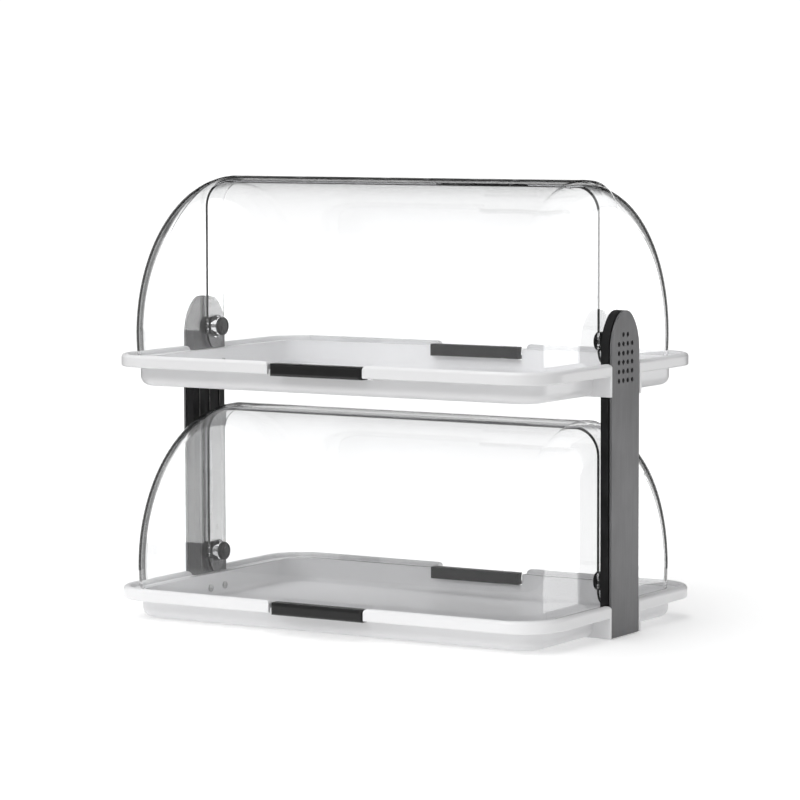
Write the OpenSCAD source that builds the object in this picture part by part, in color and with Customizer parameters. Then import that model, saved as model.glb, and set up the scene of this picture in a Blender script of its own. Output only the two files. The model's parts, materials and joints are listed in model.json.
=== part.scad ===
/* [Tray] */
// Length of a tray over its rim
tray_l = 470; // [420:5:520]
// Depth of a tray over its rim, front to rear
tray_w = 312; // [290:2:330]
// Radius of the rim's outer corners, seen from above
tray_corner_r = 43; // [40:1:60]
// Height from a tray's underside to the top of its rim
tray_h = 30; // [28:0.5:36]
// Thickness of the moulded tray
tray_wall = 3; // [2.4:0.2:3.6]
// Height of the rim's outer skirt
rim_h = 11.5; // [10:0.5:14]
// Width of the raised bead along the edge of the rim
bead_w = 8; // [7:0.5:9]
// Rise of the bead above the ledge
bead_h = 4; // [3:0.5:6]
// Radius of the bead's top edges
bead_r = 3.4; // [1:0.2:3.4]
// Width of the ledge on which the covers close
ledge_w = 13; // [11:0.5:15]
// Outer radius along the bottom edge of the well
well_r = 9; // [8:1:16]

/* [Tiers] */
// Height from one tray's underside to the next
tier_pitch = 219; // [216:1:250]
// Height of a pivot above its tray's underside
pivot_rise = 48; // [44:1:54]
// Thickness of the rubber feet
foot_t = 1; // [0.8:0.2:3]
// Diameter of a round tray foot
foot_d = 18; // [10:1:24]
// How far the middle of a tray foot lies inside the flat of the underside
foot_inset = 24; // [12:1:30]

/* [Covers] */
// Thickness of the clear covers
cover_t = 2.4; // [2:0.2:3]
// Clear distance between the front cover and the rim's bead, level with the pivot
cover_rim_gap = 2; // [1:0.5:4]
// Clear distance between the two nested drums
drum_gap = 1.8; // [1.2:0.2:2.6]
// Clear distance between the nested end walls
end_gap = 1.2; // [0.8:0.2:2]
// Radius where the front cover's drum turns into its end walls
cover_fillet_r = 29; // [20:1:36]
// How far each cover runs past the middle of the tray
cover_overlap = 15; // [10:1:18]
// Clear distance between a closed cover and the ledge
cover_rest_gap = 0.4; // [0.3:0.1:1]
// Space between the covers' end walls and a post
cover_post_gap = 5; // [4:0.5:7]

/* [Posts] */
// Width of a post, front to rear
post_w = 52.4; // [46:0.4:56]
// Thickness of a post
post_t = 11.4; // [10.6:0.2:13]
// How far the post's face lies behind the ends of the rims
post_recess = 0.6; // [0.2:0.2:2]
// Height of the post above the upper pivot
post_over = 29; // [26:1:34]
// Height of the arched part of the post
arch_h = 35; // [30:1:40]
// Radius at the very top of the arch
arch_top_r = 19; // [12:1:21]
// Thickness of the face plate
plate_t = 2; // [1.6:0.2:2.4]
// Width of the shadow line between the face plate and the core
shadow_w = 1.4; // [0.8:0.2:2]
// Depth of the shadow line
shadow_depth = 2; // [1:0.5:3]
// Clear distance between a post and the sides of its channel in the tray
channel_gap = 0.4; // [0.2:0.1:1]
// Thickness of the ribs at both sides of the channel
channel_rib = 3; // [2:0.5:5]
// Rounding of the rim where it ends at a post or a grip
rim_end_r = 4; // [2:0.5:5]
// Width of the ribs on the core's inner face
rib_w = 1.2; // [0.8:0.2:2]
// Height of the ribs on the core's inner face
rib_h = 0.8; // [0.4:0.2:1.2]
// Distance between two ribs on the core's inner face
rib_pitch = 17; // [15:0.5:18]

/* [Hole pattern] */
// Diameter of a hole in the face plate
vent_d = 4.6; // [3:0.2:5]
// Distance between two holes
vent_pitch = 8.3; // [7.6:0.1:9]
// Number of full rows
vent_rows = 5; // [3:1:6]
// Number of holes in a full row
vent_cols = 4; // [3:1:4]
// Height of the short top row above the upper pivot
vent_top = 7.1; // [4:0.1:9]
// How deep the holes go on into the core
vent_depth = 2.5; // [1:0.5:3]

/* [Pivots] */
// Diameter of a pivot pin
pin_d = 8; // [6:0.5:9]
// Radial running clearance of a cover on its pin
pin_fit = 0.05; // [0.02:0.01:0.1]
// How deep a pin is set into the post
pin_seat = 5; // [4:0.5:6]
// Diameter of the collars
collar_d = 17.4; // [14:0.2:20]
// Diameter of the knobs
knob_d = 17.4; // [14:0.2:20]
// Thickness of the knobs
knob_t = 4.2; // [3.6:0.2:6]
// Radius of the knobs' rounded edge
knob_edge_r = 1.2; // [0.6:0.2:1.6]
// Height of the conical boss inside the rear cover's end walls
boss_h = 3.4; // [2:0.2:5]
// Diameter of that boss at the wall
boss_d = 22; // [18:0.5:26]
// Clear distance beside a part that turns
side_gap = 0.3; // [0.2:0.05:0.5]

/* [Grips] */
// Length of a grip
grip_length = 98; // [70:2:120]
// Height of a grip
grip_h = 11.5; // [10:0.5:12.5]
// How far a grip's top lies below the top of the rim
grip_drop = 1.7; // [1:0.1:3]
// Radius of the front grip's rounded edges
grip_r = 3; // [1:0.5:4]
// Depth of the rear grip, front to rear
rear_grip_depth = 13; // [11:0.5:18]
// Clear distance between a grip and the ends of its notch
notch_gap = 2; // [1.5:0.5:6]
// How far a cover's tongue reaches down into the grip
tongue_h = 6; // [5:0.5:7]
// Clear distance round the tongue in the grip
tongue_fit = 0.15; // [0.1:0.05:0.3]

/* [Screws] */
// Diameter of the tray screws
tray_screw_d = 4; // [3:0.5:5]
// Distance between the two tray screws at one end
tray_screw_pitch = 24; // [16:1:32]
// Diameter of the grip and post screws
small_screw_d = 3; // [2.5:0.5:3.5]
// Distance between the two screws of a grip
grip_screw_pitch = 60; // [40:2:64]
// How deep a tray screw reaches into the post
screw_bite = 6; // [4:0.5:7]
// Distance of the post screws from the tray above or below
post_screw_inset = 40; // [20:2:60]
// Clear distance round a screw or a pin in the part that holds it
seat_fit = 0.05; // [0.02:0.01:0.1]
// Clear distance round a screw in a part that it passes through
hole_gap = 0.2; // [0.1:0.05:0.4]

/* [Hidden] */
$fn = 96;
tiers = ["lower", "upper"];
sides = ["left", "right"];
halves = ["front", "rear"];

// How far a cutter runs past a face
over = 1;
white = [0.93, 0.94, 0.95];
black = [0.10, 0.10, 0.11];
grey = [0.47, 0.48, 0.49];
clear = [0.80, 0.90, 0.95, 0.35];
steel = [0.70, 0.71, 0.72];
rubber = [0.16, 0.16, 0.17];

// Tray sections, measured from the rim's outer edge and up from the underside
ledge_z = tray_h - bead_h;
rim_z = tray_h - rim_h;
well_inset = bead_w + ledge_w;
body_inset = well_inset - tray_wall;
body_l = tray_l - 2 * body_inset;
channel_w = post_w + 2 * channel_gap;

// Posts, measured outwards from the middle of the tray
post_out_x = tray_l / 2 - post_recess;
post_in_x = post_out_x - post_t;
plate_in_x = post_out_x - plate_t;
core_out_x = plate_in_x - shadow_w;
tier_z = [foot_t, foot_t + tier_pitch];
pivot_z = [for (z = tier_z) z + pivot_rise];
post_top_z = pivot_z[1] + post_over;

// Covers: the front drum is the outer one, and the rear drum turns inside it
front_end_x = post_in_x - cover_post_gap;
rear_end_x = front_end_x - cover_t - end_gap;
front_r = tray_w / 2 - bead_w - cover_rim_gap;
rear_r = front_r - cover_t - drum_gap;
rear_fillet_r = cover_fillet_r - cover_t - drum_gap;
cover_low = ledge_z + cover_rest_gap - pivot_rise;
tongue_low = cover_low - tongue_h;

// Grips, up from the pivot
grip_top = tray_h - grip_drop - pivot_rise;
grip_low = grip_top - grip_h;
notch_length = grip_length + 2 * notch_gap;
notch_in = tray_w / 2 - well_inset;
notch_low = grip_low + pivot_rise - over;
tongue_length = grip_length - 2 * grip_r - 2 * over;
small_head_d = 1.8 * small_screw_d;
small_head_h = 2;
grip_screw_z = (cover_low + tongue_low) / 2;
front_head_y = sqrt(pow(front_r - cover_t, 2) - pow(grip_screw_z + small_head_d / 2, 2)) + seat_fit;
rear_head_y = sqrt(pow(rear_r, 2) - pow(grip_screw_z - small_head_d / 2, 2)) - seat_fit;

// Knobs and pins
boss_tip_x = rear_end_x - cover_t - boss_h;
knob_out_x = boss_tip_x - side_gap;
knob_in_x = knob_out_x - knob_t;
pin_in_x = knob_in_x + knob_edge_r;
pin_out_x = post_in_x + pin_seat;

// Screws
tray_head_d = 1.75 * tray_screw_d;
tray_head_h = 2;
tray_screw_z = well_r + tray_head_d / 2;
tray_screw_end_x = post_in_x + screw_bite;
post_boss_d = 2.7 * small_screw_d;
post_boss_l = 5;
post_screw_z = [tier_z[0] + tray_h + post_screw_inset, tier_z[1] - post_screw_inset];
post_screw_y = [-rib_pitch / 2, rib_pitch / 2];
post_head_x = post_in_x + small_head_h + hole_gap;
rib_low = tier_z[0] + tray_h + channel_rib;
rib_top = tier_z[1] - channel_rib;

// Copies its child to the left end when side is "left"
module at_side(side) {
  mirror([side == "left" ? 1 : 0, 0, 0]) children();
}

// A cylinder of diameter d that lies along X from x0 to x1
module rod_x(d, x0, x1, y = 0, z = 0) {
  translate([x0, y, z]) rotate([0, 90, 0]) cylinder(h = x1 - x0, d = d);
}

// A cylinder of diameter d that lies along Y from y0 to y1
module rod_y(d, y0, y1, x = 0, z = 0) {
  translate([x, y1, z]) rotate([90, 0, 0]) cylinder(h = y1 - y0, d = d);
}

// A rectangle from corner a to corner b with round corners
module round_rect(a, b, r) {
  translate([a.x + r, a.y]) square([b.x - a.x - 2 * r, b.y - a.y]);
  translate([a.x, a.y + r]) square([b.x - a.x, b.y - a.y - 2 * r]);
  for (x = [a.x + r, b.x - r], y = [a.y + r, b.y - r]) translate([x, y]) circle(r);
}

// Section of the tray's edge: x runs outwards from the centre of the corner, y upwards
module edge_section() {
  r = tray_corner_r;
  floor_x = r - body_inset - well_r;
  square([floor_x, tray_wall]);
  translate([floor_x, well_r]) intersection() {
    difference() {
      circle(well_r);
      circle(well_r - tray_wall);
    }
    translate([0, -well_r]) square(well_r);
  }
  translate([r - well_inset, well_r]) square([tray_wall, ledge_z - well_r]);
  translate([r - well_inset, ledge_z - tray_wall]) square([well_inset - tray_wall, tray_wall]);
  translate([r - tray_wall, rim_z + tray_wall / 2]) square([tray_wall, ledge_z - rim_z - tray_wall / 2]);
  translate([r - tray_wall / 2, rim_z + tray_wall / 2]) circle(tray_wall / 2);
  translate([r - bead_w, ledge_z - tray_wall]) square([bead_w, tray_wall + bead_h - bead_r]);
  round_rect([r - bead_w, ledge_z - tray_wall], [r, tray_h], bead_r);
}

// Sweeps the edge section round the tray: four straight runs and four corners
module tray_shell() {
  for (turn = [0:3]) {
    along = (turn % 2 == 0 ? tray_w : tray_l) - 2 * tray_corner_r;
    out = (turn % 2 == 0 ? tray_l : tray_w) / 2 - tray_corner_r;
    rotate(90 * turn) translate([out, along / 2, 0]) {
      rotate([90, 0, 0]) linear_extrude(along) edge_section();
      rotate_extrude(angle = 90) edge_section();
    }
  }
  inner_l = tray_l - 2 * tray_corner_r;
  inner_w = tray_w - 2 * tray_corner_r;
  translate([-inner_l / 2, -inner_w / 2, 0]) cube([inner_l, inner_w, tray_wall]);
}

// Outline that is cut out of the rim: it flares at the top with a round edge
module rim_gap(width, low) {
  half = width / 2;
  translate([-half, low]) square([width, tray_h + over - low]);
  for (s = [-1, 1]) difference() {
    translate([s * (half + rim_end_r / 2) - rim_end_r / 2, tray_h - rim_end_r])
      square([rim_end_r, rim_end_r + over]);
    translate([s * (half + rim_end_r), tray_h - rim_end_r]) circle(rim_end_r);
  }
}

// End view of what fills the space outside the well, from its bottom edge out to out_x
module channel_section(out_x) {
  curve_x = body_l / 2 - well_r;
  middle_r = well_r - tray_wall / 2;
  difference() {
    translate([curve_x, 0]) square([out_x - curve_x, ledge_z]);
    translate([curve_x, well_r]) circle(middle_r);
    translate([curve_x - over, well_r]) square([middle_r + over, ledge_z]);
  }
}

// Pad behind a post and a rib at both sides of it, at the right-hand end
module post_channel() {
  rotate([90, 0, 0]) linear_extrude(channel_w + channel_rib, center = true)
    channel_section(post_in_x - seat_fit);
  for (s = [-1, 1]) translate([0, s * (channel_w + channel_rib) / 2, 0]) rotate([90, 0, 0])
    linear_extrude(channel_rib, center = true) channel_section(tray_l / 2);
}

module tray() {
  color(white) difference() {
    union() {
      tray_shell();
      for (side = sides) at_side(side) post_channel();
    }
    for (side = sides) at_side(side) {
      translate([post_in_x - seat_fit, 0, 0]) rotate([90, 0, 90]) linear_extrude(well_inset)
        rim_gap(channel_w, -over);
      for (s = [-1, 1])
        rod_x(tray_screw_d + 2 * hole_gap, tray_l / 2 - well_inset - over, post_in_x + over,
          s * tray_screw_pitch / 2, tray_screw_z);
    }
    for (turn = [0, 180]) rotate(turn) translate([0, tray_w / 2 + over, 0]) rotate([90, 0, 0])
      linear_extrude(well_inset + 2 * over) rim_gap(notch_length, notch_low);
  }
}

// The post's outline, seen from the end and set in by inset: x is front to rear, y is up
module post_outline(inset = 0) {
  half = post_w / 2;
  arch_z = post_top_z - arch_h;
  top_z = post_top_z - arch_top_r;
  rise = top_z - arch_z;
  side_r = (half * half + rise * rise - arch_top_r * arch_top_r) / (2 * (half - arch_top_r));
  joint_z = arch_z + rise * side_r / (side_r - arch_top_r);
  translate([inset - half, foot_t + inset]) square([post_w - 2 * inset, arch_z - foot_t - inset]);
  intersection() {
    translate([half - side_r, arch_z]) circle(side_r - inset, $fn = 192);
    translate([side_r - half, arch_z]) circle(side_r - inset, $fn = 192);
    translate([-half, arch_z]) square([post_w, joint_z - arch_z]);
  }
  translate([0, top_z]) circle(arch_top_r - inset);
}

// Extrudes an end view outwards, from x0 to x1
module along_x(x0, x1) {
  translate([x0, 0, 0]) rotate([90, 0, 90]) linear_extrude(x1 - x0) children();
}

// Places its child at every hole of the pattern, in the end view
module vent_places() {
  top = pivot_z[1] + vent_top;
  for (i = [-0.5, 0.5]) translate([i * vent_pitch, top]) children();
  for (row = [1:vent_rows], col = [0:vent_cols - 1])
    translate([(col - (vent_cols - 1) / 2) * vent_pitch, top - row * vent_pitch]) children();
}

module post_core(side) {
  color(black) at_side(side) difference() {
    union() {
      along_x(post_in_x, core_out_x) post_outline();
      along_x(core_out_x - over, plate_in_x) post_outline(shadow_depth);
      for (i = [-1:1]) translate([post_in_x - rib_h, i * rib_pitch - rib_w / 2, rib_low])
        cube([rib_h + over, rib_w, rib_top - rib_low]);
    }
    for (z = pivot_z) {
      rod_x(pin_d + 2 * seat_fit, post_in_x - over, pin_out_x + seat_fit, 0, z);
      rod_x(collar_d + 2 * hole_gap, post_in_x - rib_h - over, post_in_x, 0, z);
    }
    for (z = tier_z, s = [-1, 1])
      rod_x(tray_screw_d + 2 * seat_fit, post_in_x - over, tray_screw_end_x + hole_gap,
        s * tray_screw_pitch / 2, z + tray_screw_z);
    for (z = post_screw_z, y = post_screw_y) {
      rod_x(small_head_d + 2 * hole_gap, post_in_x - over, post_head_x, y, z);
      rod_x(small_screw_d + 2 * hole_gap, post_in_x, plate_in_x + over, y, z);
      rod_x(post_boss_d + 2 * hole_gap, plate_in_x - post_boss_l - hole_gap, plate_in_x + over, y, z);
    }
    along_x(plate_in_x - vent_depth, plate_in_x + over) vent_places() circle(d = vent_d, $fn = 32);
  }
}

module post_plate(side) {
  color(grey) at_side(side) difference() {
    union() {
      along_x(plate_in_x, post_out_x) post_outline();
      for (z = post_screw_z, y = post_screw_y)
        rod_x(post_boss_d, plate_in_x - post_boss_l, plate_in_x + plate_t / 2, y, z);
    }
    along_x(plate_in_x - over, post_out_x + over) vent_places() circle(d = vent_d, $fn = 32);
    for (z = post_screw_z, y = post_screw_y)
      rod_x(small_screw_d + 2 * seat_fit, plate_in_x - post_boss_l - over, plate_in_x + hole_gap, y, z);
  }
}

module pivot_pin(tier, side) {
  color(black) at_side(side) rod_x(pin_d, pin_in_x, pin_out_x, 0, pivot_z[tier]);
}

module pivot_collar(tier, side) {
  color(black) at_side(side) difference() {
    rod_x(collar_d, front_end_x + side_gap, post_in_x - seat_fit, 0, pivot_z[tier]);
    rod_x(pin_d + 2 * seat_fit, front_end_x, post_in_x + over, 0, pivot_z[tier]);
  }
}

// A domed cap on the inner end of the pin
module pivot_knob(tier, side) {
  color(black) at_side(side) translate([knob_in_x, 0, pivot_z[tier]]) rotate([0, 90, 0]) difference() {
    rotate_extrude() {
      square([knob_d / 2 - knob_edge_r, knob_t]);
      translate([0, knob_edge_r]) square([knob_d / 2, knob_t - 2 * knob_edge_r]);
      for (y = [knob_edge_r, knob_t - knob_edge_r])
        translate([knob_d / 2 - knob_edge_r, y]) circle(knob_edge_r);
    }
    translate([0, 0, pin_in_x - knob_in_x - seat_fit]) cylinder(h = knob_t, d = pin_d + 2 * seat_fit);
  }
}

// Half section of a closed drum: x is the radius, y runs along its axis
module drum_section(r, end_x, fillet) {
  translate([0, -end_x]) square([r - fillet, 2 * end_x]);
  translate([0, fillet - end_x]) square([r, 2 * (end_x - fillet)]);
  for (y = [fillet - end_x, end_x - fillet]) intersection() {
    translate([r - fillet, y]) circle(fillet);
    translate([0, -end_x]) square([r, 2 * end_x]);
  }
}

// The drum about the pivot axis as a hollow shell
module drum_shell(r, end_x, fillet) {
  rotate([0, 90, 0]) rotate_extrude($fn = 240) difference() {
    drum_section(r, end_x, fillet);
    drum_section(r - cover_t, end_x - cover_t, fillet - cover_t);
  }
}

// One half of a drum, drawn for the rear: open below and ahead of the overlap, with a tongue for the grip
module half_cover(r, end_x, fillet) {
  reach = r + over;
  difference() {
    intersection() {
      drum_shell(r, end_x, fillet);
      union() {
        translate([-end_x - over, -cover_overlap, cover_low])
          cube([2 * (end_x + over), reach + cover_overlap, reach - cover_low]);
        translate([-tongue_length / 2, r / 2, tongue_low]) cube([tongue_length, reach, tongue_h + over]);
      }
    }
    // The lower front corner of each end wall is a quarter circle, so that it swings clear of the ledge
    along_x(-end_x - over, end_x + over) difference() {
      translate([-cover_overlap - over, cover_low - over]) square(cover_overlap + over);
      translate([0, cover_low + cover_overlap]) circle(cover_overlap);
    }
  }
}

module front_cover(tier) {
  color(clear) translate([0, 0, pivot_z[tier]]) difference() {
    rotate(180) half_cover(front_r, front_end_x, cover_fillet_r);
    rod_x(pin_d + 2 * pin_fit, -front_end_x - over, front_end_x + over);
    for (s = [-1, 1]) translate([s * grip_screw_pitch / 2, 0, grip_screw_z]) {
      rod_y(small_screw_d + 2 * hole_gap, -front_r - over, -front_r / 2);
      grip_screw_head(-front_head_y, seat_fit);
      rod_y(small_head_d + 2 * seat_fit, -front_head_y, -front_r / 2);
    }
  }
}

module rear_cover(tier) {
  bore_x = rear_end_x + over;
  color(clear) translate([0, 0, pivot_z[tier]]) difference() {
    union() {
      half_cover(rear_r, rear_end_x, rear_fillet_r);
      for (side = sides) at_side(side) translate([boss_tip_x, 0, 0]) rotate([0, 90, 0])
        cylinder(h = boss_h + cover_t / 2, d1 = boss_d - 2 * boss_h, d2 = boss_d + cover_t);
    }
    rod_x(pin_d + 2 * pin_fit, -bore_x, bore_x);
    for (s = [-1, 1]) translate([s * grip_screw_pitch / 2, 0, grip_screw_z]) {
      rod_y(small_screw_d + 2 * hole_gap, rear_r / 2, rear_r + over);
      grip_screw_head(rear_head_y, seat_fit);
      rod_y(small_head_d + 2 * seat_fit, rear_head_y, rear_r + over);
    }
  }
}

// Countersunk head of a grip screw with its wide end at y, larger in radius by extra
module grip_screw_head(y, extra = 0) {
  head_r = small_head_d / 2 + extra;
  head_h = (small_head_d - small_screw_d) / 2;
  translate([0, y, 0]) rotate([90, 0, 0]) cylinder(h = head_h, r1 = head_r, r2 = head_r - head_h);
}

// Lies wholly outside the front drum, so that it passes over the open rear half
module front_grip(tier) {
  outer = tray_w / 2;
  inner = front_r - grip_h;
  color(black) translate([0, 0, pivot_z[tier]]) difference() {
    intersection() {
      along_x(-grip_length / 2, grip_length / 2)
        round_rect([-outer, grip_low], [-inner, grip_top], grip_r);
      translate([0, 0, grip_low]) linear_extrude(grip_h)
        round_rect([-grip_length / 2, -outer], [grip_length / 2, -inner], grip_r);
    }
    rotate([0, 90, 0])
      cylinder(h = grip_length + 2 * over, r = front_r + tongue_fit, center = true, $fn = 240);
    for (s = [-1, 1])
      rod_y(small_screw_d + 2 * seat_fit, -outer + grip_r, -inner + over, s * grip_screw_pitch / 2,
        grip_screw_z);
  }
}

// Lies wholly inside the front drum's sweep, so both halves can be open together
module rear_grip(tier) {
  inner = rear_r - rear_grip_depth;
  color(black) translate([0, 0, pivot_z[tier]]) difference() {
    intersection() {
      translate([-grip_length / 2, inner, grip_low]) cube([grip_length, rear_grip_depth, grip_h]);
      rotate([0, 90, 0]) cylinder(h = grip_length, r = rear_r, center = true, $fn = 240);
    }
    difference() {
      translate([-grip_length / 2 - over, 0, tongue_low - tongue_fit])
        cube([grip_length + 2 * over, rear_r + over, 2 * grip_h]);
      rotate([0, 90, 0])
        cylinder(h = grip_length + 3 * over, r = rear_r - cover_t - tongue_fit, center = true, $fn = 240);
    }
    for (s = [-1, 1])
      rod_y(small_screw_d + 2 * seat_fit, inner + over, rear_r + over, s * grip_screw_pitch / 2,
        grip_screw_z);
  }
}

module front_grip_screws(tier) {
  color(steel) for (s = [-1, 1]) translate([s * grip_screw_pitch / 2, 0, pivot_z[tier] + grip_screw_z]) {
    grip_screw_head(-front_head_y);
    rod_y(small_screw_d, -tray_w / 2 + grip_r + over, -front_head_y - small_head_h / 4);
  }
}

module rear_grip_screws(tier) {
  color(steel) for (s = [-1, 1]) translate([s * grip_screw_pitch / 2, 0, pivot_z[tier] + grip_screw_z]) {
    grip_screw_head(rear_head_y);
    rod_y(small_screw_d, rear_r - rear_grip_depth + 2 * over, rear_head_y - small_head_h / 4);
  }
}

module tray_screws() {
  head_x = tray_l / 2 - well_inset - tray_head_h;
  color(steel) for (side = sides) at_side(side) for (z = tier_z, s = [-1, 1])
    translate([0, s * tray_screw_pitch / 2, z + tray_screw_z]) {
      rod_x(tray_head_d, head_x, head_x + tray_head_h);
      rod_x(tray_screw_d, head_x + tray_head_h / 2, tray_screw_end_x);
    }
}

module post_screws() {
  head_x = post_head_x - small_head_h;
  color(steel) for (side = sides) at_side(side) for (z = post_screw_z, y = post_screw_y)
    translate([0, y, z]) {
      rod_x(small_head_d, head_x, post_head_x);
      rod_x(small_screw_d, head_x + small_head_h / 2, plate_in_x - hole_gap);
    }
}

module tray_feet() {
  foot_x = body_l / 2 - well_r - foot_inset;
  foot_y = tray_w / 2 - body_inset - well_r - foot_inset;
  color(rubber) for (x = [-foot_x, foot_x], y = [-foot_y, foot_y])
    translate([x, y, 0]) cylinder(h = foot_t, d = foot_d);
}

module post_feet() {
  strip_w = core_out_x - post_in_x - 2 * over;
  strip_l = post_w - 2 * rim_end_r;
  color(rubber) for (side = sides) at_side(side) translate([post_in_x + over, -strip_l / 2, 0])
    cube([strip_w, strip_l, foot_t]);
}

for (i = [0, 1]) translate([0, 0, tier_z[i]])
  tray();
for (s = sides) post_core(s);
for (s = sides) post_plate(s);
for (i = [0, 1], s = sides) {
  name = str(tiers[i], "_", s);
  pivot_pin(i, s);
  pivot_collar(i, s);
  pivot_knob(i, s);
}
for (i = [0, 1]) {
  front_cover(i);
  rear_cover(i);
  front_grip(i);
  rear_grip(i);
  front_grip_screws(i);
  rear_grip_screws(i);
}
tray_screws();
post_screws();
tray_feet();
post_feet();
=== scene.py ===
# %% [markdown]
# # Dressing a two-tier roll-top bread bin
#
# The object is a countertop bin for a bakery: two shallow white trays held one above
# the other by two side posts. Over each tray sits a clear drum in two halves, and a
# half rolls up and over the other one when its black grip is lifted.
#
# The shapes and the joints come from a finished CAD model. This lesson gives them
# their finishes, adds the small details that only a picture needs, and lights the
# whole thing as a plain white product shot.

# %% Load the jointed frame
import json
import math
import bmesh
import bpy
from mathutils import Matrix, Vector

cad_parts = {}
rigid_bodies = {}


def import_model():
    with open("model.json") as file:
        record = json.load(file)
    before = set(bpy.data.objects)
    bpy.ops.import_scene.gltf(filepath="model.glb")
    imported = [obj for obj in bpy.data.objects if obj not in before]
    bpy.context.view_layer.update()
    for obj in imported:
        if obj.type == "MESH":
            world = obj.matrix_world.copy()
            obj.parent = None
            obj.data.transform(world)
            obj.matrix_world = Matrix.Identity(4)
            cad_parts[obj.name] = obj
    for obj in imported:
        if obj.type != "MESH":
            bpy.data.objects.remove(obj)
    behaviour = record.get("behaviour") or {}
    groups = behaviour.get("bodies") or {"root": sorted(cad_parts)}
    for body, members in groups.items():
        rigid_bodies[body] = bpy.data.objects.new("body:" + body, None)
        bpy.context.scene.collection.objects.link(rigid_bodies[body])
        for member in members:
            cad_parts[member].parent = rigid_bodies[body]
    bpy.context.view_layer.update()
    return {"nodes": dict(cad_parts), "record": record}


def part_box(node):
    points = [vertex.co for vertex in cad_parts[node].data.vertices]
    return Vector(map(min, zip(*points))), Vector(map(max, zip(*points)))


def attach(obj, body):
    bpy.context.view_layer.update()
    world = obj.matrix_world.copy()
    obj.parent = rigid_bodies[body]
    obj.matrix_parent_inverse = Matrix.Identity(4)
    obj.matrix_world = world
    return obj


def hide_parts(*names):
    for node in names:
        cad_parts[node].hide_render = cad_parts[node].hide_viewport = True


for spare in list(bpy.data.objects):
    bpy.data.objects.remove(spare)
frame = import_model()

# %% [markdown]
# ## The camera
#
# The picture was taken a little from the right and just above the upper tray, from
# far away with a long lens, so upright edges stay upright. The camera is placed the
# way a photographer thinks of it: a point to aim at, a turn, a tilt and a distance.
# The lens length is set for a picture as wide as it is high.

# %% Place the camera
AIM = Vector((-0.0052, 0.0, 0.2051))
TURN = math.radians(31.65)
TILT = math.radians(5.04)
ROLL = math.radians(-0.15)
DISTANCE = 3.3593
away = Vector((math.sin(TURN) * math.cos(TILT), -math.cos(TURN) * math.cos(TILT), math.sin(TILT)))
level = Vector((math.cos(TURN), math.sin(TURN), 0.0))
upright = away.cross(level)
right = math.cos(ROLL) * level + math.sin(ROLL) * upright
up = -math.sin(ROLL) * level + math.cos(ROLL) * upright
lens = bpy.data.cameras.new("bin_camera")
lens.sensor_fit = "HORIZONTAL"
lens.sensor_width = 36.0
lens.lens = 160.9
lens.clip_end = 40.0
camera = bpy.data.objects.new("bin_camera", lens)
bpy.context.scene.collection.objects.link(camera)
pose = Matrix((right, up, away)).transposed().to_4x4()
pose.translation = AIM + away * DISTANCE
camera.matrix_world = pose
bpy.context.scene.camera = camera
print("camera stands at", [round(v, 3) for v in camera.location])

# %% [markdown]
# ## A bright field with a dark ring
#
# Clear plastic has almost no colour of its own. What draws it is what it bends into
# view: in an all-white room the covers would vanish. A photographer puts a bright
# card behind the object, only just larger than the picture, with darkness round it.
# The flat parts of the plastic show the card. The rounded edges bend the view by ten
# to forty degrees, pick up the dark ring and become thin dark lines.
#
# Here the world plays card and ring. The direction of a ray chooses its brightness.
# A ray that comes straight from the camera sees plain white everywhere, so nothing
# dark stands about. A ray that has passed through a cover sees brighter walls and
# white below, so the covers stay clear when the object is seen from another side.
#
# Three more patches of the sky do small jobs. A dark canopy overhead darkens the
# covers' top band. A bright panel stands where the end walls mirror the view and lays
# a pale veil over the left post. A soft box behind the camera lights the black grips.

# %% Paint the room
def link(tree, start, end):
    tree.links.new(start, end)


def ramp_between(tree, value, low, high, out_low, out_high):
    """Turn a value between low and high smoothly into out_low to out_high."""
    node = tree.nodes.new("ShaderNodeMapRange")
    node.interpolation_type = "SMOOTHSTEP"
    for socket, number in zip(("From Min", "From Max", "To Min", "To Max"), (low, high, out_low, out_high)):
        node.inputs[socket].default_value = number
    link(tree, value, node.inputs["Value"])
    return node.outputs["Result"]


def product(tree, first, second):
    node = tree.nodes.new("ShaderNodeMath")
    node.operation = "MULTIPLY"
    link(tree, first, node.inputs[0])
    link(tree, second, node.inputs[1])
    return node.outputs[0]


def total(tree, first, second):
    node = tree.nodes.new("ShaderNodeMath")
    link(tree, first, node.inputs[0])
    link(tree, second, node.inputs[1])
    return node.outputs[0]


def along(tree, direction, vector):
    """How far a direction points along the given one, from -1 to 1."""
    node = tree.nodes.new("ShaderNodeVectorMath")
    node.operation = "DOT_PRODUCT"
    link(tree, direction, node.inputs[0])
    node.inputs[1].default_value = vector
    return node.outputs["Value"]


def larger(tree, first, second):
    node = tree.nodes.new("ShaderNodeMath")
    node.operation = "MAXIMUM"
    link(tree, first, node.inputs[0])
    link(tree, second, node.inputs[1])
    return node.outputs[0]


def patch(tree, direction, centre, edge, outside, inside):
    """A round patch of the sky about centre; edge is where it starts and is full, in degrees."""
    cosines = [math.cos(math.radians(degrees)) for degrees in edge]
    return ramp_between(tree, along(tree, direction, centre), *cosines, outside, inside)


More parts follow.
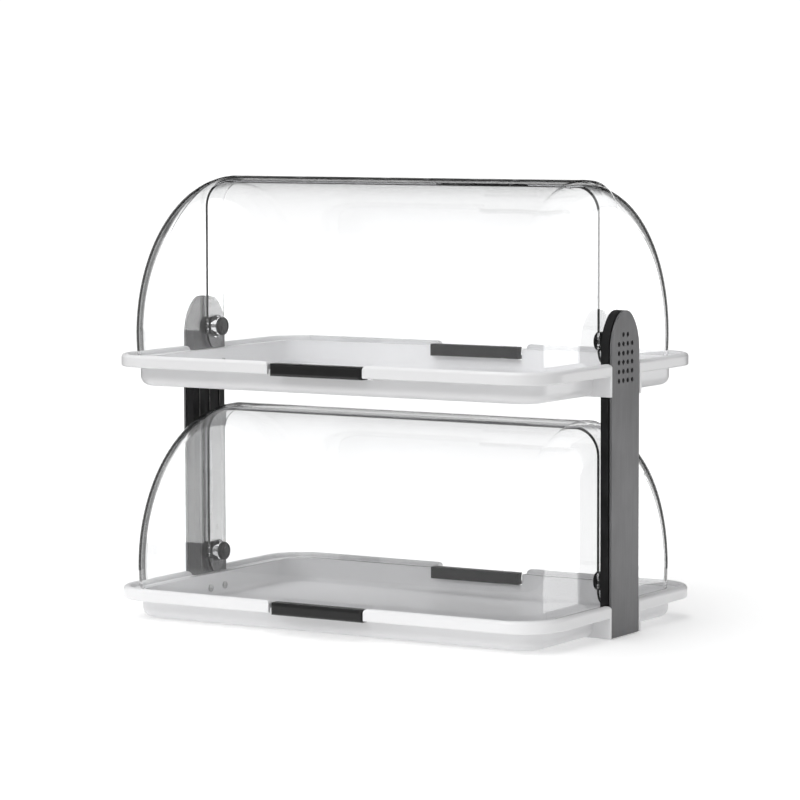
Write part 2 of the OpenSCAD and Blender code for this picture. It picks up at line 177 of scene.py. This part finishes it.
CARD_EDGE, CARD_GLOW = (13.0, 8.0), 1.12
RING_EDGE, RING_SHADE = (52.0, 40.0), 0.07
CANOPY_EDGE, CANOPY_RISE, CANOPY_SHADE = (44.0, 38.0), 60.0, 0.12
PANEL_EDGE, PANEL_GLOW = (14.0, 9.0), 1.9
SOFTBOX_EDGE, SOFTBOX_RISE, SOFTBOX_GLOW = (25.0, 21.0), 50.0, 2.2
SOFTBOX_TO_THE_LEFT = 0.35
BELOW_EDGE = (0.19, 0.26)
WALL_GLOW, WALL_GLOW_THROUGH_COVERS = 0.40, 0.95
room = bpy.data.worlds.new("white_room")
room.use_nodes = True
bpy.context.scene.world = room
tree = room.node_tree
direction = tree.nodes.new("ShaderNodeTexCoord").outputs["Generated"]
rays = tree.nodes.new("ShaderNodeLightPath")
through_cover = rays.outputs["Is Transmission Ray"]
card = patch(tree, direction, -away, CARD_EDGE, 0.0, CARD_GLOW)
ring = patch(tree, direction, -away, RING_EDGE, 1.0, RING_SHADE)
overhead = (Matrix.Rotation(math.radians(CANOPY_RISE), 3, level) @ -away).normalized()
canopy = patch(tree, direction, overhead, CANOPY_EDGE, 1.0, CANOPY_SHADE)
mirrored = (-away).reflect(Vector((1, 0, 0)))
panel = patch(tree, direction, mirrored, PANEL_EDGE, 0.0, PANEL_GLOW)
raised = Matrix.Rotation(math.radians(-SOFTBOX_RISE), 3, level) @ away
softbox_at = (raised - SOFTBOX_TO_THE_LEFT * level).normalized()
softbox = patch(tree, direction, softbox_at, SOFTBOX_EDGE, 0.0, SOFTBOX_GLOW)
wall_glow = ramp_between(tree, through_cover, 0.0, 1.0, WALL_GLOW, WALL_GLOW_THROUGH_COVERS)
below = ramp_between(tree, along(tree, direction, (0, 0, -1)), *BELOW_EDGE, 0.0, 1.0)
walls = product(tree, product(tree, ring, wall_glow), canopy)
seen = total(tree, total(tree, total(tree, walls, panel), softbox), card)
seen = larger(tree, seen, product(tree, below, through_cover))
seen = larger(tree, seen, rays.outputs["Is Camera Ray"])
link(tree, seen, tree.nodes["Background"].inputs["Color"])
tree.nodes["Background"].inputs["Strength"].default_value = 1.0
bpy.context.scene.view_settings.view_transform = "Standard"
bpy.context.scene.cycles.max_bounces = 28
bpy.context.scene.cycles.transmission_bounces = 28
bpy.context.scene.cycles.glossy_bounces = 8
print("room painted:", room.name)

# %% [markdown]
# ## The floor and the lamps
#
# A round pale floor carries the faint shadow to the lower right. It glows a little, so
# that it meets the white background without an edge, and rays that have passed through
# a cover don't see it, so the covers' dark lines run right down to the tray. The lamps
# are large, because a large lamp gives a soft shadow. The strongest one hangs behind
# the bin to the left, so that the shadow falls forwards and to the right.

# %% Lay the floor and hang the lamps
def stage_floor(radius, shift):
    sheet = bpy.data.meshes.new("floor")
    disc = bmesh.new()
    bmesh.ops.create_circle(disc, cap_ends=True, segments=96, radius=radius)
    bmesh.ops.translate(disc, verts=disc.verts, vec=shift)
    disc.to_mesh(sheet)
    disc.free()
    floor = bpy.data.objects.new("floor", sheet)
    bpy.context.scene.collection.objects.link(floor)
    paint = bpy.data.materials.new("floor_white")
    paint.use_nodes = True
    shader = paint.node_tree.nodes["Principled BSDF"]
    shader.inputs["Base Color"].default_value = (0.8, 0.8, 0.8, 1)
    shader.inputs["Roughness"].default_value = 0.9
    shader.inputs["Emission Color"].default_value = (1, 1, 1, 1)
    shader.inputs["Emission Strength"].default_value = FLOOR_GLOW
    sheet.materials.append(paint)
    floor.visible_transmission = False
    return floor


def soft_sun(name, towards, spread, strength):
    """A far lamp with an even light everywhere; spread is its width in degrees."""
    data = bpy.data.lights.new(name, "SUN")
    data.angle = math.radians(spread)
    data.energy = strength
    lamp = bpy.data.objects.new(name, data)
    bpy.context.scene.collection.objects.link(lamp)
    lamp.rotation_euler = (-Vector(towards)).to_track_quat("-Z", "Y").to_euler()
    lamp.location = Vector(towards)
    lamp.visible_glossy = False
    lamp.visible_transmission = False
    return lamp


FLOOR_GLOW = 0.34
FLOOR_RADIUS = 0.72
FLOOR_CENTRE = (0.18, -0.26, 0.0)
floor = stage_floor(FLOOR_RADIUS, FLOOR_CENTRE)
lamps = [
    soft_sun("overhead_light", (-0.75, 0.35, 1.6), 60.0, 1.5),
    soft_sun("front_light", (-0.6, -1.3, 1.2), 50.0, 0.5),
]
print("lamps:", [lamp.name for lamp in lamps])

# %% [markdown]
# ## Finishes made of nodes
#
# No real surface is one even colour. Each finish below starts from Blender's main
# surface shader and varies up to three things by noise in the object's own metres: the
# colour a little, the roughness, and the surface itself by a bump far finer than the
# eye can measure. Noise in object metres stays put when a cover moves.

# %% Helpers for the finishes
def new_finish(name):
    finish = bpy.data.materials.new(name)
    finish.use_nodes = True
    return finish, finish.node_tree, finish.node_tree.nodes["Principled BSDF"]


def grain(tree, size, detail=3.0, stretch=(1, 1, 1)):
    """Noise whose clouds are about size metres across, pulled longer along an axis by stretch."""
    place = tree.nodes.new("ShaderNodeTexCoord")
    scale = tree.nodes.new("ShaderNodeMapping")
    scale.inputs["Scale"].default_value = [1.0 / (size * s) for s in stretch]
    noise = tree.nodes.new("ShaderNodeTexNoise")
    noise.inputs["Scale"].default_value = 1.0
    noise.inputs["Detail"].default_value = detail
    link(tree, place.outputs["Object"], scale.inputs["Vector"])
    link(tree, scale.outputs["Vector"], noise.inputs["Vector"])
    return noise.outputs["Fac"]


def vary_colour(tree, value, first, second, socket):
    ramp = tree.nodes.new("ShaderNodeValToRGB")
    ramp.color_ramp.elements[0].position = 0.35
    ramp.color_ramp.elements[1].position = 0.65
    ramp.color_ramp.elements[0].color = (*first, 1)
    ramp.color_ramp.elements[1].color = (*second, 1)
    link(tree, value, ramp.inputs["Fac"])
    link(tree, ramp.outputs["Color"], socket)


def vary_number(tree, value, low, high, socket):
    link(tree, ramp_between(tree, value, 0.3, 0.7, low, high), socket)


def roughen(tree, value, depth, shader, strength=1.0):
    """Raise and lower the surface by noise; depth is in metres."""
    bump = tree.nodes.new("ShaderNodeBump")
    bump.inputs["Strength"].default_value = strength
    bump.inputs["Distance"].default_value = depth
    link(tree, value, bump.inputs["Height"])
    link(tree, bump.outputs["Normal"], shader.inputs["Normal"])


print("finish helpers ready")

# %% [markdown]
# ### White moulded trays
#
# The trays are glossy white plastic. Out of the mould the flat faces are never quite
# flat: a slow ripple, a couple of hundredths of a millimetre deep, bends the
# reflections, and the gloss varies from one fine grain to the next. Slow clouds of
# gloss would show as patches on such a plain surface, so the grain is small and faint.

# %% Mix the tray finish
def tray_white():
    finish, tree, shader = new_finish("tray_white")
    slow = grain(tree, 0.12, detail=0)
    vary_colour(tree, slow, (0.818, 0.818, 0.826), (0.832, 0.832, 0.839), shader.inputs["Base Color"])
    vary_number(tree, grain(tree, 0.0012, detail=2), 0.277, 0.283, shader.inputs["Roughness"])
    roughen(tree, grain(tree, 0.06, detail=0), 0.00002, shader)
    shader.inputs["IOR"].default_value = 1.53
    return finish


# %% [markdown]
# ### Clear covers
#
# The covers are clear plastic, 2.4 mm thick, so a ray bends twice in each wall. The
# shader lets it through with the index of acrylic. A lamp's light would be stopped by
# such a surface, so for shadow rays only it is swapped for a plain see-through one.

# %% Mix the cover finish
def cover_clear():
    finish, tree, shader = new_finish("cover_clear")
    slow = grain(tree, 0.2)
    vary_colour(tree, slow, (0.985, 0.988, 0.99), (0.995, 0.996, 0.998), shader.inputs["Base Color"])
    shader.inputs["Roughness"].default_value = 0.0
    roughen(tree, grain(tree, 0.07, detail=1), 0.00012, shader)
    shader.inputs["IOR"].default_value = 1.49
    shader.inputs["Transmission Weight"].default_value = 1.0
    pass_through = tree.nodes.new("ShaderNodeBsdfTransparent")
    pass_through.inputs["Color"].default_value = (0.99, 0.99, 0.995, 1)
    ray = tree.nodes.new("ShaderNodeLightPath")
    choose = tree.nodes.new("ShaderNodeMixShader")
    link(tree, ray.outputs["Is Shadow Ray"], choose.inputs["Fac"])
    link(tree, shader.outputs["BSDF"], choose.inputs[1])
    link(tree, pass_through.outputs["BSDF"], choose.inputs[2])
    link(tree, choose.outputs["Shader"], tree.nodes["Material Output"].inputs["Surface"])
    return finish


# %% [markdown]
# ### Grey plates and black posts
#
# Each post is a black core with a grey plate on its outer face. The plate has a fine
# upright grain, so its noise is stretched along Z. The core is matt black, and the
# crests of the ribs on its inner face carry a painted highlight: their colour is painted
# paler, as if they caught the light. The crests are found by their distance from the
# middle of the bin, which is the same at both ends.

# %% Mix the post finishes
def plate_grey():
    finish, tree, shader = new_finish("plate_grey")
    slow = grain(tree, 0.05)
    vary_colour(tree, slow, (0.15, 0.15, 0.153), (0.175, 0.175, 0.179), shader.inputs["Base Color"])
    brushed = grain(tree, 0.0006, detail=2, stretch=(1, 1, 60))
    vary_number(tree, brushed, 0.42, 0.54, shader.inputs["Roughness"])
    roughen(tree, brushed, 0.00002, shader, 0.6)
    shader.inputs["Metallic"].default_value = 0.55
    return finish


def black_plastic(name, dark, light, dull, shiny, speck, shine=0.5):
    finish, tree, shader = new_finish(name)
    dark_tone, light_tone = (dark, dark, dark), (light, light, light * 1.03)
    vary_colour(tree, grain(tree, 0.02), dark_tone, light_tone, shader.inputs["Base Color"])
    vary_number(tree, grain(tree, 0.008), shiny, dull, shader.inputs["Roughness"])
    roughen(tree, grain(tree, speck, detail=4), 0.00004, shader)
    shader.inputs["Specular IOR Level"].default_value = shine
    return finish


POST_INSIDE = min(abs(v.co.x) for v in frame["nodes"]["post_core_right"].data.vertices)
RIB_TOP = POST_INSIDE + 0.0002
RIB_FOOT = POST_INSIDE + 0.0007


def post_black():
    """Matt black with a painted highlight: the crests of the raised ribs on the inner face are painted
    paler, as if lit.
    """
    finish = black_plastic("post_black", 0.014, 0.020, 0.60, 0.48, 0.0006, 0.12)
    tree = finish.node_tree
    shader = tree.nodes["Principled BSDF"]
    place = tree.nodes.new("ShaderNodeTexCoord")
    split = tree.nodes.new("ShaderNodeSeparateXYZ")
    outward = tree.nodes.new("ShaderNodeMath")
    outward.operation = "ABSOLUTE"
    link(tree, place.outputs["Object"], split.inputs["Vector"])
    link(tree, split.outputs["X"], outward.inputs[0])
    # painted highlight: the rib crests, the part of the core nearest the middle of the bin, are painted
    # paler as if lit
    painted_rib_highlight = ramp_between(tree, outward.outputs[0], RIB_TOP, RIB_FOOT, 1.0, 0.0)
    blend = tree.nodes.new("ShaderNodeMix")
    blend.data_type = "RGBA"
    base = shader.inputs["Base Color"].links[0].from_socket
    link(tree, product(tree, painted_rib_highlight, grain(tree, 0.004)), blend.inputs["Factor"])
    link(tree, base, blend.inputs[6])
    # the pale grey of the painted rib highlight
    blend.inputs[7].default_value = (0.28, 0.275, 0.27, 1)
    link(tree, blend.outputs[2], shader.inputs["Base Color"])
    return finish


# %% [markdown]
# ### Metal and rubber
#
# The screws are steel: fully metallic, with turning marks. The feet are soft rubber,
# dull and speckled.

# %% Mix the screw and foot finishes
def screw_metal(name, dark, light):
    finish, tree, shader = new_finish(name)
    dark_tone, light_tone = (dark, dark, dark), (light, light, light)
    vary_colour(tree, grain(tree, 0.002), dark_tone, light_tone, shader.inputs["Base Color"])
    vary_number(tree, grain(tree, 0.0008), 0.22, 0.42, shader.inputs["Roughness"])
    roughen(tree, grain(tree, 0.0004), 0.00001, shader)
    shader.inputs["Metallic"].default_value = 1.0
    return finish


FINISHES = {
    "white_abs": tray_white(),
    "clear_cover": cover_clear(),
    "grey_plate": plate_grey(),
    "black_core": post_black(),
    "pivot_black": black_plastic("pivot_black", 0.007, 0.011, 0.36, 0.26, 0.0008, 0.18),
    "grip_black": black_plastic("grip_black", 0.007, 0.010, 0.285, 0.275, 0.0005, 0.4),
    "screw_steel": screw_metal("steel", 0.45, 0.58),
    "screw_black": screw_metal("blackened_steel", 0.03, 0.05),
    "foot_rubber": black_plastic("foot_rubber", 0.015, 0.028, 0.85, 0.70, 0.0003),
}
print("finishes:", sorted(FINISHES))

# %% [markdown]
# ## Dress the CAD solids
#
# Every solid came in with one material slot named after what it is made of. The new
# finish goes into that slot. The posts and plates then get their edges eased: a weld joins
# the faces the file keeps apart, a small bevel rounds what is left sharp, and weighted
# normals keep the flat faces flat.

# %% Put on the finishes and ease the edges
EASED = {"grey_plate": 0.0004, "black_core": 0.0004}


def ease_edges(solid, width):
    weld = solid.modifiers.new("weld", "WELD")
    weld.merge_threshold = 0.00001
    bevel = solid.modifiers.new("eased_edges", "BEVEL")
    bevel.width = width
    bevel.segments = 2
    bevel.limit_method = "ANGLE"
    bevel.angle_limit = math.radians(40)
    bevel.use_clamp_overlap = True
    normals = solid.modifiers.new("even_shading", "WEIGHTED_NORMAL")
    normals.keep_sharp = False


for name, solid in frame["nodes"].items():
    slot_name = solid.material_slots[0].material.name.split(".")[0]
    solid.material_slots[0].material = FINISHES[slot_name]
    if slot_name in EASED:
        ease_edges(solid, EASED[slot_name])
print("dressed", len(frame["nodes"]), "solids")

# %% [markdown]
# ## Turned knobs
#
# The covers turn on pins, and a round black knob caps each pin inside the drum. The
# CAD knob is a plain button. The photo shows a dark face with a paler edge, which a
# raised rim with a shallow groove inside it would give, so a lathe-turned piece stands
# in for the button: a profile of radius and height is spun about the pin.

# %% Turn the knobs
def spun(work, profile, steps=72):
    """Add a spun surface to a mesh being built; profile is (radius, height) in metres."""
    rings = []
    for radius, height in profile:
        if radius == 0:
            rings.append([work.verts.new((0, 0, height))])
            continue
        angles = [2 * math.pi * i / steps for i in range(steps)]
        places = [(radius * math.cos(a), radius * math.sin(a), height) for a in angles]
        rings.append([work.verts.new(place) for place in places])
    for first, second in zip(rings, rings[1:]):
        for i in range(steps):
            j = (i + 1) % steps
            corners = [first[i % len(first)], first[j % len(first)]]
            corners += [second[j % len(second)], second[i % len(second)]]
            work.faces.new(list(dict.fromkeys(corners)))


def finished_piece(name, work, slot_name, solid_name, sharp=35):
    """Turn a mesh being built into a piece that stands in for a CAD solid."""
    bmesh.ops.recalc_face_normals(work, faces=work.faces)
    mesh = bpy.data.meshes.new(name)
    work.to_mesh(mesh)
    work.free()
    mesh.shade_smooth()
    mesh.set_sharp_from_angle(angle=math.radians(sharp))
    mesh.materials.append(FINISHES[slot_name])
    piece = bpy.data.objects.new(name, mesh)
    bpy.context.scene.collection.objects.link(piece)
    bodies = frame["record"]["behaviour"]["bodies"]
    home = next(body for body, members in bodies.items() if solid_name in members)
    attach(piece, home)
    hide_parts(solid_name)
    return piece


PIN_ROOM = 0.00005


def turned_knob(solid_name):
    low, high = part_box(solid_name)
    pin_low, pin_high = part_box(solid_name.replace("knob", "pin"))
    side = 1 if low[0] > 0 else -1
    radius, thick = (high[1] - low[1]) / 2, high[0] - low[0]
    back = high[0] if side > 0 else low[0]
    pin_end = pin_low[0] if side > 0 else pin_high[0]
    bore_r = (pin_high[1] - pin_low[1]) / 2 + PIN_ROOM
    bore_h = abs(back - pin_end) + PIN_ROOM
    profile = [(0, bore_h), (bore_r, bore_h), (bore_r, 0), (radius - 0.0007, 0), (radius, 0.0007)]
    profile += [(radius, thick - 0.0011), (radius - 0.0002, thick - 0.0005)]
    profile += [(radius - 0.0006, thick - 0.0001), (radius - 0.0011, thick)]
    profile += [(radius - 0.0017, thick - 0.0001), (radius - 0.0021, thick - 0.0005)]
    profile += [(radius - 0.0026, thick - 0.0006), (radius - 0.0031, thick - 0.0004)]
    profile += [(radius * 0.45, thick - 0.0002), (radius * 0.2, thick - 0.0001), (0, thick - 0.0001)]
    work = bmesh.new()
    spun(work, profile)
    turn = Vector((-side, 0, 0)).to_track_quat("Z", "Y").to_matrix().to_4x4()
    turn.translation = Vector((back, (low[1] + high[1]) / 2, (low[2] + high[2]) / 2))
    bmesh.ops.transform(work, matrix=turn, verts=work.verts)
    piece_name = solid_name.replace("pivot_knob", "turned_knob")
    return finished_piece(piece_name, work, "pivot_black", solid_name)


knobs = [turned_knob(name) for name in sorted(frame["nodes"]) if name.startswith("pivot_knob")]
print("turned", len(knobs), "knobs")

# %% [markdown]
# ## Screws with a cross recess
#
# The screws are small but they are what a close look finds: a head with a cross for
# the driver and a thread below it. Each screw of a CAD node is found by where its
# points lie, left or right, front or back, low or high. The top of the head is a
# round grid of points, pressed down where the cross is. The thread is drawn as rings,
# a profile that steps in and out once per turn: nobody can tell it from a true spiral
# at this size, and it stays a simple closed shape. The screws are hidden in the photo,
# so the cross and the thread are a plain, common choice.

# %% Cut the screws
PITCH = 0.0008
POINT = 0.0008


def recess_depth(x, y, head_r, head_h):
    """How deep the driver's cross is at a point of the head."""
    arm, reach, depth = 0.2 * head_r, 0.6 * head_r, 0.45 * head_h
    near, far = sorted((abs(x), abs(y)))
    across = max(0.0, min(1.0, (arm - near) / (0.4 * arm)))
    along_arm = max(0.0, min(1.0, (reach - far) / (0.3 * reach)))
    return depth * across * along_arm


def shank_profile(length, head_h, shank_r):
    """Radius and height down the threaded part, from under the head to the point."""
    profile = []
    height = -head_h - PITCH / 2
    while height > -length + 2 * POINT:
        profile += [(shank_r * 0.80, height), (shank_r, height - 0.0003), (shank_r * 0.80, height - 0.0006)]
        height -= PITCH
    return profile + [(shank_r * 0.75, -length + POINT), (0, -length)]


def head_top(screw, head_r, head_h, crown, lip, steps, rings):
    """The top of the head: rings of points round the middle, with the cross pressed in."""
    grid = [[screw.verts.new((0, 0, -recess_depth(0, 0, head_r, head_h)))]]
    for k in range(1, rings + 1):
        radius = head_r * k / rings
        drop = crown * (k / rings) ** 2 + (lip if k == rings else 0.0)
        ring = []
        for i in range(steps):
            angle = 2 * math.pi * i / steps
            x, y = radius * math.cos(angle), radius * math.sin(angle)
            ring.append(screw.verts.new((x, y, -drop - recess_depth(x, y, head_r, head_h))))
        grid.append(ring)
    for first, second in zip(grid, grid[1:]):
        for i in range(steps):
            j = (i + 1) % steps
            corners = [first[i % len(first)], first[j % len(first)], second[j], second[i]]
            screw.faces.new(list(dict.fromkeys(corners)))


def add_screw(work, top, tip, head_r, head_h, shank_r, sunk, steps=48, rings=12):
    """Add one screw to a mesh being built, from the top of its head to its tip."""
    screw = bmesh.new()
    crown = 0.0 if sunk else 0.35 * head_h
    lip = 0.05 * head_h
    head = [(head_r, -crown - lip)] + ([] if sunk else [(head_r, -head_h)]) + [(shank_r, -head_h)]
    spun(screw, head + shank_profile((top - tip).length, head_h, shank_r), steps)
    head_top(screw, head_r, head_h, crown, lip, steps, rings)
    bmesh.ops.remove_doubles(screw, verts=screw.verts, dist=0.000001)
    turn = (top - tip).to_track_quat("Z", "Y").to_matrix().to_4x4()
    turn.translation = top
    bmesh.ops.transform(screw, matrix=turn, verts=screw.verts)
    part = bpy.data.meshes.new("one_screw")
    screw.to_mesh(part)
    screw.free()
    work.from_mesh(part)
    bpy.data.meshes.remove(part)


def screw_boxes(solid_name, middle_z):
    """The box of each screw in a CAD node, told apart by the sides of three planes."""
    boxes = {}
    for vertex in frame["nodes"][solid_name].data.vertices:
        x, y, z = vertex.co
        key = (x > 0, y > 0, z > middle_z)
        low, high = boxes.setdefault(key, (Vector((x, y, z)), Vector((x, y, z))))
        for i in range(3):
            low[i], high[i] = min(low[i], vertex.co[i]), max(high[i], vertex.co[i])
    return list(boxes.values())


def cut_screws(solid_name, slot_name, shank, head_h, sunk=False):
    low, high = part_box(solid_name)
    work = bmesh.new()
    tall = high[2] - low[2] > 0.05
    boxes = screw_boxes(solid_name, (low[2] + high[2]) / 2 if tall else 0.0)
    for near, far in boxes:
        centre = (near + far) / 2
        size = far - near
        axis = max(range(3), key=lambda i: size[i])
        head_r = min(size[i] for i in range(3) if i != axis) / 2
        top, tip = centre.copy(), centre.copy()
        head_high = "grip" in solid_name or centre[axis] < 0
        top[axis], tip[axis] = (far[axis], near[axis]) if head_high else (near[axis], far[axis])
        add_screw(work, top, tip, head_r, head_h, shank / 2, sunk)
    piece = finished_piece(solid_name + "_cut", work, slot_name, solid_name)
    print(solid_name, len(boxes), "screws,", len(piece.data.polygons), "faces")
    return piece


for name in sorted(frame["nodes"]):
    if name == "tray_screws":
        cut_screws(name, "screw_steel", 0.004, 0.002)
    elif name == "post_screws":
        cut_screws(name, "screw_black", 0.003, 0.002)
    elif "grip_screws" in name:
        cut_screws(name, "screw_steel", 0.003, 0.0012, sunk=True)
